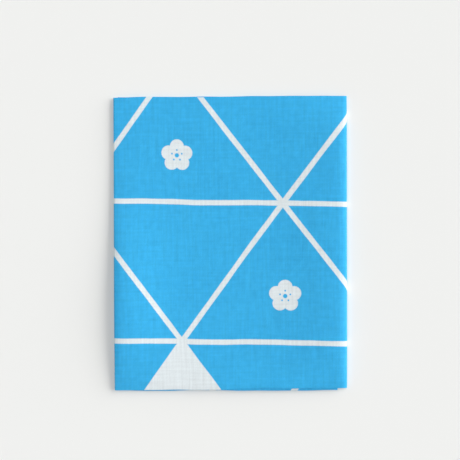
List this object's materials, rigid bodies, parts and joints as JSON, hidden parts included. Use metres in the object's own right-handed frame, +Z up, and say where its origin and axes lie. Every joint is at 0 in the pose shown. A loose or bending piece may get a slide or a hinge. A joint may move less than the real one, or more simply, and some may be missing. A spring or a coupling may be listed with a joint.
{
  "type": "folded tenugui towel",
  "caption": "Plain-weave cotton hand towel, folded flat into a thin oblong packet with a rounded wrap down one side.",
  "frame": {"origin": "middle of the underside, on the surface that the towel lies on", "axes": "+X towards the outer wrap's rounded fold, +Y towards the selvedges, along the packet's longer side, +Z up"},
  "size_m": [0.1506, 0.1904, 0.0066],
  "materials": {
    "dyed_cotton": "matte plain-weave cotton, sky blue with off-white lines left undyed"
  },
  "bodies": {
    "root": {"towel_cloth": "dyed_cotton"}
  },
  "joints": []
}
